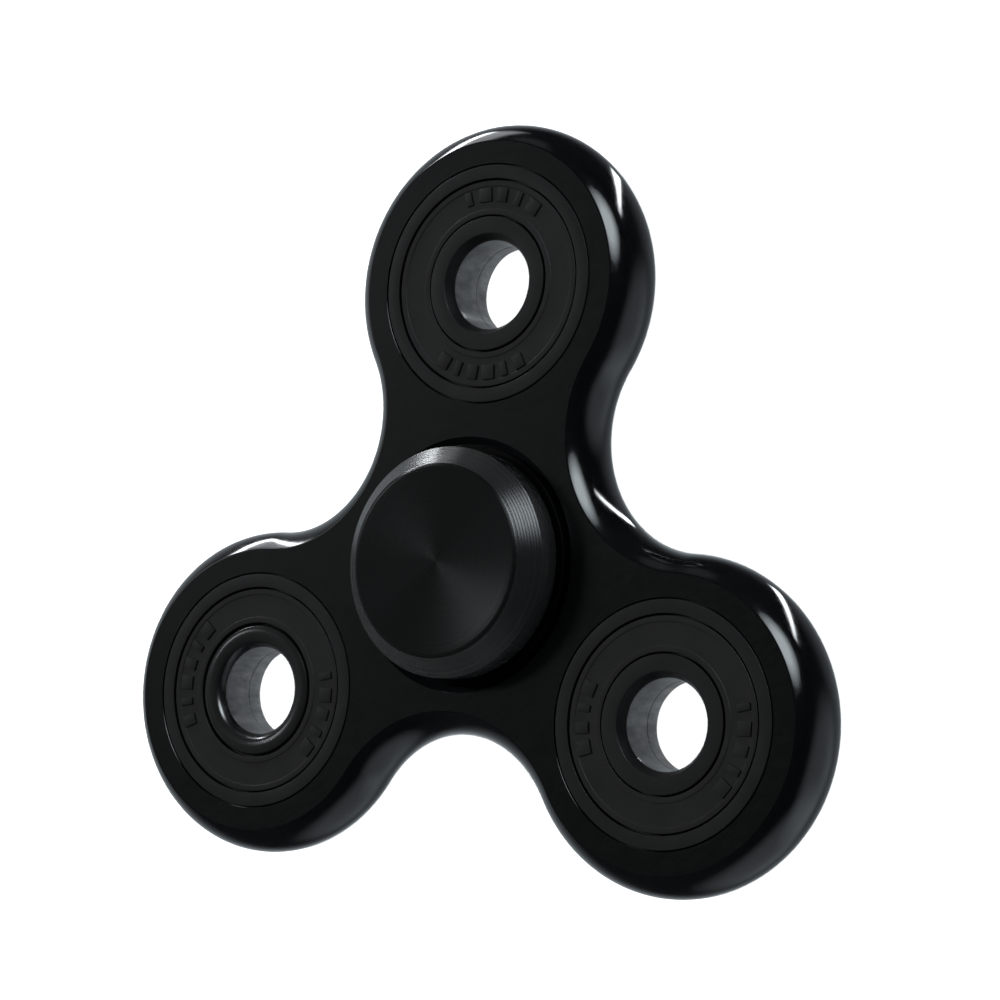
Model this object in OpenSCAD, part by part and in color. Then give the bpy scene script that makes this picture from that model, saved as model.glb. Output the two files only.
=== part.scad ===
// Three-lobed fidget spinner with four sealed ball bearings and two finger caps.
// Units are millimetres. The spin axis is Z, the front face looks along +Z and
// the top lobe points along +Y. The origin is on the spin axis, half way
// through the thickness of the body.

/* [Body] */
// Width of the body between the centre bore and a lobe's bore
web = 3.6; // [2.5:0.1:10]
// Width of the body outside a lobe's bore
lobe_wall = 4.1; // [3:0.1:6]
// Radius of the hollow curve between two lobes
waist_radius = 10.7; // [10:0.1:14]
// How far the rounding of the rim cuts into the flat faces
rim_inset = 1.96; // [1:0.02:2.8]
// Chamfer at the mouth of the centre bore
centre_mouth_chamfer = 0.6; // [0.2:0.05:1]
// Chamfer at the mouth of each lobe bore
lobe_mouth_chamfer = 0.15; // [0.05:0.05:0.4]

/* [Bearing] */
// Outside diameter of every bearing and of every body bore
bearing_od = 22; // [20:0.1:26.4]
// Bore diameter of every bearing
bearing_bore = 8; // [6.5:0.1:9.6]
// Width of every bearing, which is also the thickness of the body
bearing_width = 7; // [5.8:0.1:8.4]
// Diameter of one ball
ball_dia = 3.969; // [3.3:0.001:4.2]
// Depth of the ball groove in each ring
groove_depth = 0.65; // [0.4:0.05:0.8]
// Chamfer on the corners of the bearing rings
ring_chamfer = 0.3; // [0.1:0.05:0.5]

/* [Seal] */
// Width of the outer ring's flat face outside the seal
ring_face_width = 1.38; // [1:0.02:1.8]
// Thickness of the moulded seal
seal_thick = 0.75; // [0.5:0.05:0.9]
// Depth of the seal's face below the bearing's face
seal_recess = 0.15; // [0.05:0.05:0.3]
// Depth of the dished middle of the seal below its rim and lip
seal_dish = 0.12; // [0.05:0.01:0.2]
// Width of the seal's raised rim and of its raised lip
seal_rim = 0.5; // [0.3:0.05:0.8]
// Height of the seal's snap bead where it enters the ring's groove
seal_bead = 0.2; // [0.1:0.05:0.3]

/* [Cage] */
// Radial width of the ball cage
cage_width = 1.6; // [1.2:0.1:1.8]
// Thickness of the cage's back rim under a pocket
cage_rim = 0.4; // [0.3:0.05:0.5]
// How far the cage's prongs reach past the ball centres, in ball radii
cage_grip = 0.55; // [0.3:0.05:0.7]

/* [Caps] */
// Largest radius of a finger cap
cap_radius = 10.4; // [8:0.1:12.6]
// Height of a cap's flat top above the body's face
cap_height = 4.6; // [3.8:0.1:5.6]
// Width and height of the cap's chamfer
cap_chamfer = 1.8; // [1.2:0.1:2.2]
// Width of the narrow band between the top and the chamfer
cap_band = 0.3; // [0.2:0.05:0.6]
// Gap between the underside of a cap and the body's face
cap_gap = 0.45; // [0.3:0.05:0.9]
// Radius of the boss that bears on the inner ring's face
boss_radius = 5.3; // [4.8:0.05:5.7]
// Length of the back cap's spigot inside the bearing's bore
spigot_length = 1.4; // [0.8:0.1:2.5]
// Radius of the screw stud that joins the two caps
stud_radius = 2.5; // [1.8:0.05:2.8]
// Depth of the stud into the front cap, measured from the body's front face
stud_reach = 2.4; // [1.5:0.1:3]

/* [Fits] */
// Clearance between a ball and its race
race_clearance = 0.05; // [0.03:0.01:0.1]
// Clearance between a ball and its cage pocket
pocket_clearance = 0.06; // [0.03:0.01:0.1]
// Clearance between a seal's lip and the inner ring
lip_clearance = 0.05; // [0.02:0.01:0.1]
// Clearance between a cap's stem and the inner ring's bore
stem_clearance = 0.02; // [0.01:0.01:0.05]
// Clearance between the stud and its hole, and between stem and spigot ends
stud_clearance = 0.05; // [0.02:0.01:0.1]

/* [Hidden] */
$fn = 96;
// A standard bearing of this size holds seven balls
ball_count = 7;
// Small corner break on edges that fingers touch
edge_break = 0.15;
// Extra length that carries a cut past the faces that it opens
past = 1;
// Shared values worked out from the sizes above
half_w = bearing_width / 2;
bearing_r = bearing_od / 2;
bore_r = bearing_bore / 2;
lobe_pitch = bearing_od + web;
lobe_radius = bearing_r + lobe_wall;
ball_r = ball_dia / 2;
// Radius of the rim's arc, through both face edges and the widest point
rim_radius = (pow(half_w, 2) + pow(rim_inset, 2)) / (2 * rim_inset);
// The ball circle sits half way between the bore and the outside
pitch_r = (bearing_r + bore_r) / 2;
race_r = ball_r + race_clearance;
pocket_r = ball_r + pocket_clearance;
inner_land_r = pitch_r - race_r + groove_depth;
outer_land_r = pitch_r + race_r - groove_depth;
seal_seat_r = bearing_r - ring_face_width;
seal_top = half_w - seal_recess;
seal_bottom = seal_top - seal_thick;
seal_lip_r = inner_land_r + lip_clearance;
cage_in_r = pitch_r - cage_width / 2;
cage_bottom = -(pocket_r + cage_rim);
cap_under = half_w + cap_gap;
cap_top = half_w + cap_height;
cap_flat_r = cap_radius - cap_chamfer;
bead_middle = seal_bottom + seal_thick * 0.4;
bead_half = seal_thick * 0.2;
stem_r = bore_r - stem_clearance;
stud_hole_r = stud_radius + stud_clearance;
stem_split = spigot_length - half_w;
// Where the centres of the hollow curves are
waist_dist = lobe_pitch / 2 + sqrt(
    pow(lobe_radius + waist_radius, 2) - pow(lobe_pitch * cos(30), 2));
// A distance well outside the body
far = 3 * lobe_pitch;

// Places of the four bearings: [distance from the spin axis, angle of lobe]
centre_place = [0, 90];
top_place = [lobe_pitch, 90];
left_place = [lobe_pitch, 210];
right_place = [lobe_pitch, 330];

// A point at a radius and an angle
function polar(radius, angle) = [radius * cos(angle), radius * sin(angle)];

module at_place(place) {
    translate([place[0] * cos(place[1]), place[0] * sin(place[1]), 0])
        children();
}

// ---------------------------------------------------------------- body

// Half section of one lobe, turned about the lobe's own axis
module lobe_section() {
    intersection() {
        translate([0, -half_w])
            square([lobe_radius + past, bearing_width]);
        union() {
            translate([0, -half_w - past])
                square([lobe_radius - rim_radius, bearing_width + 2 * past]);
            translate([lobe_radius - rim_radius, 0])
                circle(r = rim_radius);
        }
    }
}

// Half section of the cutter that hollows one waist and rounds its rim
module waist_section() {
    difference() {
        translate([0, -half_w - past / 2])
            square([waist_radius + rim_radius, bearing_width + past]);
        translate([waist_radius + rim_radius, 0])
            circle(r = rim_radius);
    }
}

// One lobe, cut off at the planes that part it from the waists beside it
module lobe(angle) {
    intersection() {
        translate(concat(polar(lobe_pitch, angle), 0))
            rotate_extrude()
                lobe_section();
        translate([0, 0, -half_w - past])
            linear_extrude(height = bearing_width + 2 * past)
                polygon([
                    polar(lobe_pitch, angle), polar(waist_dist, angle - 60),
                    polar(far, angle - 60), polar(far, angle), polar(far, angle + 60),
                    polar(waist_dist, angle + 60)
                ]);
    }
}

// Straight-sided block between the lobe axes and the waist axes
module body_core() {
    translate([0, 0, -half_w])
        linear_extrude(height = bearing_width)
            polygon([
                polar(lobe_pitch, 90), polar(waist_dist, 150),
                polar(lobe_pitch, 210), polar(waist_dist, 270),
                polar(lobe_pitch, 330), polar(waist_dist, 30)
            ]);
}

module waist_cutter(angle) {
    translate(concat(polar(waist_dist, angle), 0))
        rotate_extrude()
            waist_section();
}

// A bore for one bearing with a chamfer at both mouths
module bearing_bore_cutter(chamfer) {
    rotate_extrude()
        polygon([
            [0, -half_w - past],
            [bearing_r + chamfer + past, -half_w - past],
            [bearing_r, -half_w + chamfer],
            [bearing_r, half_w - chamfer],
            [bearing_r + chamfer + past, half_w + past],
            [0, half_w + past]
        ]);
}

module spinner_body() {
    color([0.04, 0.04, 0.05])
        difference() {
            union() {
                difference() {
                    body_core();
                    for (angle = [30, 150, 270])
                        waist_cutter(angle);
                }
                for (angle = [90, 210, 330])
                    lobe(angle);
            }
            bearing_bore_cutter(centre_mouth_chamfer);
            for (place = [top_place, left_place, right_place])
                at_place(place)
                    bearing_bore_cutter(lobe_mouth_chamfer);
        }
}

// ------------------------------------------------------------ bearings

// Outer ring: ball groove inside, a seat and a snap groove for each seal
module outer_ring() {
    color([0.35, 0.35, 0.36])
        rotate_extrude()
            difference() {
                polygon([
                    [outer_land_r, -seal_bottom],
                    [seal_seat_r, -seal_bottom],
                    [seal_seat_r, -half_w],
                    [bearing_r - ring_chamfer, -half_w],
                    [bearing_r, -half_w + ring_chamfer],
                    [bearing_r, half_w - ring_chamfer],
                    [bearing_r - ring_chamfer, half_w],
                    [seal_seat_r, half_w],
                    [seal_seat_r, seal_bottom],
                    [outer_land_r, seal_bottom]
                ]);
                translate([pitch_r, 0])
                    circle(r = race_r);
                for (side = [-1, 1])
                    translate([seal_seat_r - seal_rim, side * bead_middle - bead_half])
                        square([seal_rim + seal_bead, 2 * bead_half]);
            }
}

// Inner ring: plain bore, ball groove outside
module inner_ring() {
    color([0.45, 0.45, 0.46])
        rotate_extrude()
            difference() {
                polygon([
                    [bore_r, -half_w + ring_chamfer],
                    [bore_r + ring_chamfer, -half_w],
                    [inner_land_r, -half_w],
                    [inner_land_r, half_w],
                    [bore_r + ring_chamfer, half_w],
                    [bore_r, half_w - ring_chamfer]
                ]);
                translate([pitch_r, 0])
                    circle(r = race_r);
            }
}

// One ball on the ball circle
module ball(number) {
    color([0.8, 0.8, 0.82])
        rotate([0, 0, 90 + (number - 1) * 360 / ball_count])
            translate([pitch_r, 0, 0])
                sphere(r = ball_r);
}

// One-piece crown cage with a pocket for every ball
module ball_cage() {
    color([0.85, 0.82, 0.7])
        difference() {
            rotate_extrude()
                translate([cage_in_r, cage_bottom])
                    square([cage_width, cage_grip * ball_r - cage_bottom]);
            for (number = [1 : ball_count])
                rotate([0, 0, 90 + (number - 1) * 360 / ball_count])
                    translate([pitch_r, 0, 0])
                        sphere(r = pocket_r);
        }
}

// Moulded seal: snap bead outside, dished face, raised lip inside
module seal_shape() {
    color([0.1, 0.1, 0.1])
        rotate_extrude()
            polygon([
                [seal_lip_r, seal_top - seal_thick / 2],
                [seal_lip_r + seal_rim, seal_bottom],
                [seal_seat_r, seal_bottom],
                [seal_seat_r, bead_middle - bead_half],
                [seal_seat_r + seal_bead, bead_middle - bead_half],
                [seal_seat_r + seal_bead, bead_middle + bead_half],
                [seal_seat_r, bead_middle + bead_half],
                [seal_seat_r, seal_top - seal_dish],
                [seal_seat_r - seal_dish, seal_top],
                [seal_seat_r - seal_rim, seal_top],
                [seal_seat_r - seal_rim - seal_dish, seal_top - seal_dish],
                [seal_lip_r + seal_rim + seal_dish, seal_top - seal_dish],
                [seal_lip_r + seal_rim, seal_top],
                [seal_lip_r + seal_dish, seal_top],
                [seal_lip_r, seal_top - seal_dish]
            ]);
}

module front_seal() {
    seal_shape();
}

module back_seal() {
    mirror([0, 0, 1])
        seal_shape();
}

// ---------------------------------------------------------------- caps

// Outside of a cap from its flat top down to the boss on the inner ring
module cap_outline() {
    rotate_extrude()
        polygon([
            [0, half_w],
            [boss_radius, half_w],
            [boss_radius, cap_under],
            [cap_radius - edge_break, cap_under],
            [cap_radius, cap_under + edge_break],
            [cap_radius, cap_top - cap_chamfer],
            [cap_flat_r + cap_band / 2, cap_top - cap_band / 2],
            [cap_flat_r - cap_band / 2, cap_top],
            [0, cap_top]
        ]);
}

module front_cap() {
    color([0.05, 0.05, 0.055])
        difference() {
            union() {
                cap_outline();
                translate([0, 0, stem_split])
                    cylinder(r = stem_r, h = cap_under - stem_split);
            }
            translate([0, 0, stem_split - past])
                cylinder(
                    r = stud_hole_r,
                    h = half_w + stud_reach + stud_clearance - stem_split + past);
        }
}

module back_cap() {
    color([0.05, 0.05, 0.055])
        union() {
            mirror([0, 0, 1])
                cap_outline();
            translate([0, 0, -cap_under])
                cylinder(r = stem_r, h = cap_under + stem_split - stud_clearance);
            translate([0, 0, -cap_under])
                cylinder(r = stud_radius, h = cap_under + half_w + stud_reach);
        }
}

// ------------------------------------------------------- named pieces

spinner_body();
front_cap();
back_cap();
at_place(centre_place) outer_ring();  // centre_outer_ring
at_place(centre_place) inner_ring();  // centre_inner_ring
at_place(centre_place) ball_cage();  // centre_ball_cage
at_place(centre_place) front_seal();  // centre_front_seal
at_place(centre_place) back_seal();  // centre_back_seal
at_place(top_place) outer_ring();  // top_outer_ring
at_place(top_place) inner_ring();  // top_inner_ring
at_place(top_place) ball_cage();  // top_ball_cage
at_place(top_place) front_seal();  // top_front_seal
at_place(top_place) back_seal();  // top_back_seal
at_place(left_place) outer_ring();  // left_outer_ring
at_place(left_place) inner_ring();  // left_inner_ring
at_place(left_place) ball_cage();  // left_ball_cage
at_place(left_place) front_seal();  // left_front_seal
at_place(left_place) back_seal();  // left_back_seal
at_place(right_place) outer_ring();  // right_outer_ring
at_place(right_place) inner_ring();  // right_inner_ring
at_place(right_place) ball_cage();  // right_ball_cage
at_place(right_place) front_seal();  // right_front_seal
at_place(right_place) back_seal();  // right_back_seal
at_place(centre_place) ball(1);  // centre_ball_1
at_place(centre_place) ball(2);  // centre_ball_2
at_place(centre_place) ball(3);  // centre_ball_3
at_place(centre_place) ball(4);  // centre_ball_4
at_place(centre_place) ball(5);  // centre_ball_5
at_place(centre_place) ball(6);  // centre_ball_6
at_place(centre_place) ball(7);  // centre_ball_7
at_place(top_place) ball(1);  // top_ball_1
at_place(top_place) ball(2);  // top_ball_2
at_place(top_place) ball(3);  // top_ball_3
at_place(top_place) ball(4);  // top_ball_4
at_place(top_place) ball(5);  // top_ball_5
at_place(top_place) ball(6);  // top_ball_6
at_place(top_place) ball(7);  // top_ball_7
at_place(left_place) ball(1);  // left_ball_1
at_place(left_place) ball(2);  // left_ball_2
at_place(left_place) ball(3);  // left_ball_3
at_place(left_place) ball(4);  // left_ball_4
at_place(left_place) ball(5);  // left_ball_5
at_place(left_place) ball(6);  // left_ball_6
at_place(left_place) ball(7);  // left_ball_7
at_place(right_place) ball(1);  // right_ball_1
at_place(right_place) ball(2);  // right_ball_2
at_place(right_place) ball(3);  // right_ball_3
at_place(right_place) ball(4);  // right_ball_4
at_place(right_place) ball(5);  // right_ball_5
at_place(right_place) ball(6);  // right_ball_6
at_place(right_place) ball(7);  // right_ball_7
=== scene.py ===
"""Looks of a three-lobed fidget spinner: turned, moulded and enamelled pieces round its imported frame.

Everything is in metres. The spin axis is Z, the front face looks along +Z and the top lobe points along +Y.
"""

import logging
import math
from collections import Counter
from dataclasses import dataclass, field
from enum import Enum
from typing import Dict, List, Sequence, Tuple

import bpy
from mathutils import Matrix, Vector


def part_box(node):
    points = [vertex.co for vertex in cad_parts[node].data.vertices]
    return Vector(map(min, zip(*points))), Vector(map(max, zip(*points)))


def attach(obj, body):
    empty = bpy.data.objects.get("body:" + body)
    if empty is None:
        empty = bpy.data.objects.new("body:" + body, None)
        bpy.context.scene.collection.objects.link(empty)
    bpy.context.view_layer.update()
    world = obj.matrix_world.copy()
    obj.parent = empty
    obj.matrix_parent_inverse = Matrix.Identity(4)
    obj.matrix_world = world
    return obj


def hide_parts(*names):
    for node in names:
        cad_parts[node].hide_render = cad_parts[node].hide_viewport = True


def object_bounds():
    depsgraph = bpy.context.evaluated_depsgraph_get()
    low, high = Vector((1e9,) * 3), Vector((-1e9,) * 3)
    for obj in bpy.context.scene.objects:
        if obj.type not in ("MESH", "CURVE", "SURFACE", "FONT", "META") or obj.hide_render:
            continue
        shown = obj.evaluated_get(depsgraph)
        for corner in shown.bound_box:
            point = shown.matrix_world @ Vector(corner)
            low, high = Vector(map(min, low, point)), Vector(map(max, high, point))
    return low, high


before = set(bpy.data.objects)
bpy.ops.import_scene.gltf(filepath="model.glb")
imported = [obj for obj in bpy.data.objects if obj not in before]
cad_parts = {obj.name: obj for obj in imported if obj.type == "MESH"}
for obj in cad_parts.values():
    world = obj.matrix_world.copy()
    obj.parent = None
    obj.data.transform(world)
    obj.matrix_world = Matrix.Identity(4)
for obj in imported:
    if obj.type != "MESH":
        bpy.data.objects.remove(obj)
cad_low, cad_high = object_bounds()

log = logging.getLogger("spinner")

Point = Tuple[float, float]
Colour = Tuple[float, float, float, float]

MM = 0.001
FULL_TURN = 2 * math.pi
WELD = 1e-6  # closest two vertices may lie before they are merged
LEVEL = 0.9999  # a face whose normal has more than this along Z is level


class Side(Enum):
    """The two faces of the spinner; the value is the direction along Z."""

    FRONT = 1
    BACK = -1


class Place(Enum):
    """The four bearings, by the name that their nodes start with."""

    CENTRE = "centre"
    TOP = "top"
    LEFT = "left"
    RIGHT = "right"


# ----------------------------------------------------------------------
# Bench work: the few operator steps that every piece is made with


def clear_bench() -> None:
    """Leaves edit mode and selects nothing."""
    if bpy.context.object is not None and bpy.context.object.mode != "OBJECT":
        bpy.ops.object.mode_set(mode="OBJECT")
    bpy.ops.object.select_all(action="DESELECT")


def start_point(name: str, place: Vector) -> bpy.types.Object:
    """Makes a mesh that holds one vertex, ready to be drawn out into a profile.

    Args:
        name: Name of the new piece.
        place: Where the vertex goes.

    Returns:
        The new object, in edit mode with its vertex selected.
    """
    clear_bench()
    bpy.ops.mesh.primitive_plane_add(size=MM, location=(0, 0, 0))
    piece = bpy.context.object
    piece.name = piece.data.name = name
    bpy.ops.object.mode_set(mode="EDIT")
    bpy.ops.mesh.select_all(action="SELECT")
    bpy.ops.mesh.merge(type="CENTER")
    bpy.ops.transform.translate(value=place)
    return piece


def draw_profile(points: Sequence[Vector]) -> None:
    """Draws the selected vertex out along a path, one edge for each step.

    Args:
        points: The path, whose first point is where the vertex is now.
    """
    for here, there in zip(points, points[1:]):
        bpy.ops.mesh.extrude_vertices_move(
            TRANSFORM_OT_translate={"value": tuple(there - here)}
        )


def finish_mesh(piece: bpy.types.Object, smooth_deg: float) -> bpy.types.Object:
    """Merges doubles, turns faces outwards and shades the piece smooth up to an angle.

    Args:
        piece: The object that is in edit mode.
        smooth_deg: Edges sharper than this stay sharp.

    Returns:
        The same object, in object mode.
    """
    bpy.ops.mesh.select_all(action="SELECT")
    bpy.ops.mesh.remove_doubles(threshold=WELD)
    bpy.ops.mesh.normals_make_consistent(inside=False)
    bpy.ops.object.mode_set(mode="OBJECT")
    piece.select_set(True)
    bpy.ops.object.shade_smooth_by_angle(angle=math.radians(smooth_deg))
    return piece


def turn(
    name: str,
    profile: Sequence[Point],
    centre: Tuple[float, float] = (0.0, 0.0),
    steps: int = 192,
    smooth_deg: float = 28,
) -> bpy.types.Object:
    """Turns a profile about a vertical axis, as on a lathe.

    Args:
        name: Name of the new piece.
        profile: Pairs of radius and height, in order round the section.
        centre: Where the axis crosses the middle plane.
        steps: Number of steps in the full turn.
        smooth_deg: Edges sharper than this stay sharp.

    Returns:
        The turned piece, with its place in its mesh.
    """
    path = [Vector((centre[0] + r, centre[1], z)) for r, z in profile]
    piece = start_point(name, path[0])
    draw_profile(path)
    bpy.ops.mesh.select_all(action="SELECT")
    bpy.ops.mesh.spin(
        steps=steps, angle=FULL_TURN, center=(*centre, 0.0), axis=(0.0, 0.0, 1.0)
    )
    return finish_mesh(piece, smooth_deg)


def soften(corners: Sequence[Tuple[float, float, float]], closed: bool = False) -> List[Point]:
    """Rounds the corners of a section.

    Args:
        corners: Radius, height and size of the rounding of each corner, where 0 is sharp.
        closed: Whether the last corner joins the first.

    Returns:
        The points of the rounded section.
    """
    count, bends, points = len(corners), 4, []
    for i, (r, z, cut) in enumerate(corners):
        here = Vector((r, z))
        inner = closed or 0 < i < count - 1
        if not cut or not inner:
            points.append((r, z))
            continue
        before = Vector(corners[i - 1][:2]) - here
        after = Vector(corners[(i + 1) % count][:2]) - here
        start = here + before.normalized() * min(cut, before.length * 0.45)
        end = here + after.normalized() * min(cut, after.length * 0.45)
        for k in range(bends + 1):
            t = k / bends
            p = start * (1 - t) ** 2 + here * 2 * t * (1 - t) + end * t**2
            points.append((p.x, p.y))
    if closed:
        points.append(points[0])
    return points


def arc(centre: Point, radius: float, start_deg: float, end_deg: float, steps: int) -> List[Point]:
    """Gives points along an arc in the section plane.

    Args:
        centre: Radius and height of the arc's centre.
        radius: The arc's own radius.
        start_deg: Direction of the first point.
        end_deg: Direction of the last point.
        steps: Number of edges.

    Returns:
        The points, both ends included.
    """
    angles = [math.radians(start_deg + (end_deg - start_deg) * k / steps) for k in range(steps + 1)]
    return [(centre[0] + radius * math.cos(a), centre[1] + radius * math.sin(a)) for a in angles]


def flip_to(side: Side, profile: Sequence[Point]) -> List[Point]:
    """Mirrors a front section to the side that is asked for."""
    return [(r, z * side.value) for r, z in profile]


def direction(azimuth_deg: float, elevation_deg: float) -> Vector:
    """Gives the unit direction at an azimuth, from +X towards +Y, and a height above the floor."""
    a, e = math.radians(azimuth_deg), math.radians(elevation_deg)
    return Vector((math.cos(a) * math.cos(e), math.sin(a) * math.cos(e), math.sin(e)))


def without_repeats(points: Sequence[Point]) -> List[Point]:
    """Drops each point that lies on the one before it."""
    kept = [points[0]]
    for p in points[1:]:
        if math.dist(p, kept[-1]) > 2 * WELD:
            kept.append(p)
    return kept


def put_on(piece: bpy.types.Object, slot: str, *finishes: bpy.types.Material) -> None:
    """Gives a piece its finishes, the first one all over."""
    piece.data.materials.clear()
    for finish in finishes:
        piece.data.materials.append(finish)


# ----------------------------------------------------------------------
# Finishes: every one is procedural and reads Object coordinates


class Shader:
    """A node tree with short ways to add and join its nodes."""

    def __init__(self, name: str) -> None:
        """Makes an empty material with a Principled surface.

        Args:
            name: Name of the material.
        """
        self.material = bpy.data.materials.new(name)
        self.material.use_nodes = True
        self.tree = self.material.node_tree
        self.surface = next(n for n in self.tree.nodes if n.type == "BSDF_PRINCIPLED")
        self.coords = self.node("ShaderNodeTexCoord").outputs["Object"]

    def node(self, kind: str, **settings: object) -> bpy.types.Node:
        """Adds a node and sets its own properties."""
        made = self.tree.nodes.new(kind)
        for key, value in settings.items():
            setattr(made, key, value)
        return made

    def join(self, source: bpy.types.NodeSocket, target: bpy.types.NodeSocket) -> None:
        """Links one socket to another."""
        self.tree.links.new(source, target)

    def set(self, **values: object) -> None:
        """Sets constant values on the surface's own sockets, by name with _ for a space."""
        for key, value in values.items():
            self.surface.inputs[key.replace("_", " ")].default_value = value

    def placed(
        self, scale: Tuple[float, float, float] = (1, 1, 1), shift: Tuple[float, float, float] = (0, 0, 0)
    ) -> bpy.types.NodeSocket:
        """Gives Object coordinates that are moved, then stretched.

        Args:
            scale: Stretch along each axis.
            shift: Place that becomes the origin.

        Returns:
            The coordinates.
        """
        centred = self.node("ShaderNodeMapping")
        self.join(self.coords, centred.inputs["Vector"])
        centred.inputs["Location"].default_value = [-s * k for s, k in zip(shift, scale)]
        centred.inputs["Scale"].default_value = scale
        return centred.outputs["Vector"]

    def noise(
        self, coords: bpy.types.NodeSocket, scale: float, detail: float = 3.0, rough: float = 0.55
    ) -> bpy.types.NodeSocket:
        """Adds a noise pattern.

        Args:
            coords: Where the pattern is read.
            scale: Its cells in a metre.
            detail: Number of finer layers.
            rough: Strength of each finer layer.

        Returns:
            The pattern's value.
        """
        made = self.node("ShaderNodeTexNoise")
        self.join(coords, made.inputs["Vector"])
        made.inputs["Scale"].default_value = scale
        made.inputs["Detail"].default_value = detail
        made.inputs["Roughness"].default_value = rough
        return made.outputs["Fac"]

    def spread(
        self, value: bpy.types.NodeSocket, low: float, high: float, span: Point = (0.3, 0.7)
    ) -> bpy.types.NodeSocket:
        """Maps a pattern to a range.

        Args:
            value: The pattern.
            low: Result at the start of the span.
            high: Result at the end of the span.
            span: The pattern's values that are mapped.

        Returns:
            The mapped value.
        """
        made = self.node("ShaderNodeMapRange")
        self.join(value, made.inputs["Value"])
        for key, number in zip(("From Min", "From Max", "To Min", "To Max"), (*span, low, high)):
            made.inputs[key].default_value = number
        return made.outputs["Result"]

    def colours(
        self, value: bpy.types.NodeSocket, low: Colour, high: Colour, span: Point = (0.35, 0.65)
    ) -> None:
        """Colours the surface along a pattern.

        Args:
            value: The pattern.
            low: Colour at the start of the span.
            high: Colour at the end of the span.
            span: The pattern's values that are mapped.
        """
        ramp = self.node("ShaderNodeValToRGB")
        ramp.color_ramp.elements[0].position, ramp.color_ramp.elements[1].position = span
        ramp.color_ramp.elements[0].color, ramp.color_ramp.elements[1].color = low, high
        self.join(value, ramp.inputs["Fac"])
        self.join(ramp.outputs["Color"], self.surface.inputs["Base Color"])

    def rings(self, centre: Tuple[float, float], pitch: float) -> bpy.types.NodeSocket:
        """Gives uneven turned rings about a vertical axis.

        Args:
            centre: Where the axis crosses the middle plane.
            pitch: Mean distance between rings.

        Returns:
            A value from 0 to 1.
        """
        flat = self.placed(scale=(1, 1, 0), shift=(*centre, 0))
        length = self.node("ShaderNodeVectorMath", operation="LENGTH")
        self.join(flat, length.inputs[0])
        along = self.node("ShaderNodeCombineXYZ")
        self.join(length.outputs["Value"], along.inputs["X"])
        return self.noise(along.outputs["Vector"], 1 / pitch, detail=2.0, rough=0.6)

    def bump(self, *layers: Tuple[bpy.types.NodeSocket, float]) -> None:
        """Stacks bump layers on the surface.

        Args:
            layers: Pairs of a pattern and its height in metres.
        """
        below = None
        for pattern, height in layers:
            made = self.node("ShaderNodeBump")
            made.inputs["Strength"].default_value = 1.0
            made.inputs["Distance"].default_value = height
            self.join(pattern, made.inputs["Height"])
            if below is not None:
                self.join(below, made.inputs["Normal"])
            below = made.outputs["Normal"]
        self.join(below, self.surface.inputs["Normal"])


@dataclass(frozen=True)
class BlackEnamel:
    """Deep gloss black over cast metal: the rounded rim and the bores."""

    base: Colour = (0.0022, 0.0026, 0.003, 1)
    worn: Colour = (0.0036, 0.0042, 0.0047, 1)
    roughness: Point = (0.08, 0.15)

    def make(self) -> bpy.types.Material:
        """Builds the material."""
        s = Shader("black_enamel_rim")
        s.set(Metallic=0.0, IOR=1.52, Specular_IOR_Level=0.5)
        cloud = s.noise(s.coords, 120, 4)
        s.colours(cloud, self.base, self.worn)
        hairs = s.noise(s.placed((900, 900, 5200)), 1.0, 2)
        s.join(s.spread(hairs, *self.roughness), s.surface.inputs["Roughness"])
        peel = s.noise(s.coords, 420, 2)
        s.bump((peel, 6e-7), (hairs, 1.2e-7))
        return s.material


@dataclass(frozen=True)
class BrushedEnamel:
    """The flat faces: the same black, thin enough to show the brushing below it."""

    base: Colour = (0.0028, 0.0035, 0.0034, 1)
    light: Colour = (0.0043, 0.0052, 0.005, 1)
    roughness: Point = (0.28, 0.37)
    brush_deg: float = 32.0

    def make(self) -> bpy.types.Material:
        """Builds the material."""
        s = Shader("black_enamel_face")
        s.set(Metallic=0.0, IOR=1.5, Specular_IOR_Level=0.42)
        turned = s.node("ShaderNodeMapping", vector_type="TEXTURE")
        s.join(s.coords, turned.inputs["Vector"])
        turned.inputs["Rotation"].default_value = (0, 0, math.radians(self.brush_deg))
        turned.inputs["Scale"].default_value = (1 / 700, 1 / 4600, 1 / 700)
        brush = s.noise(turned.outputs["Vector"], 1.0, 3, 0.7)
        s.colours(brush, self.base, self.light)
        s.join(s.spread(brush, *self.roughness), s.surface.inputs["Roughness"])
        s.bump((brush, 4e-7), (s.noise(s.coords, 1100, 3), 4e-7))
        return s.material


class Turning(Enum):
    """How coarse a turned surface is: pitch and height of its rings in metres, and its shade of grey."""

    FINE = (8e-5, 2e-7, 0.006)
    COARSE = (2.2e-4, 2.0e-6, 0.026)


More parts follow.
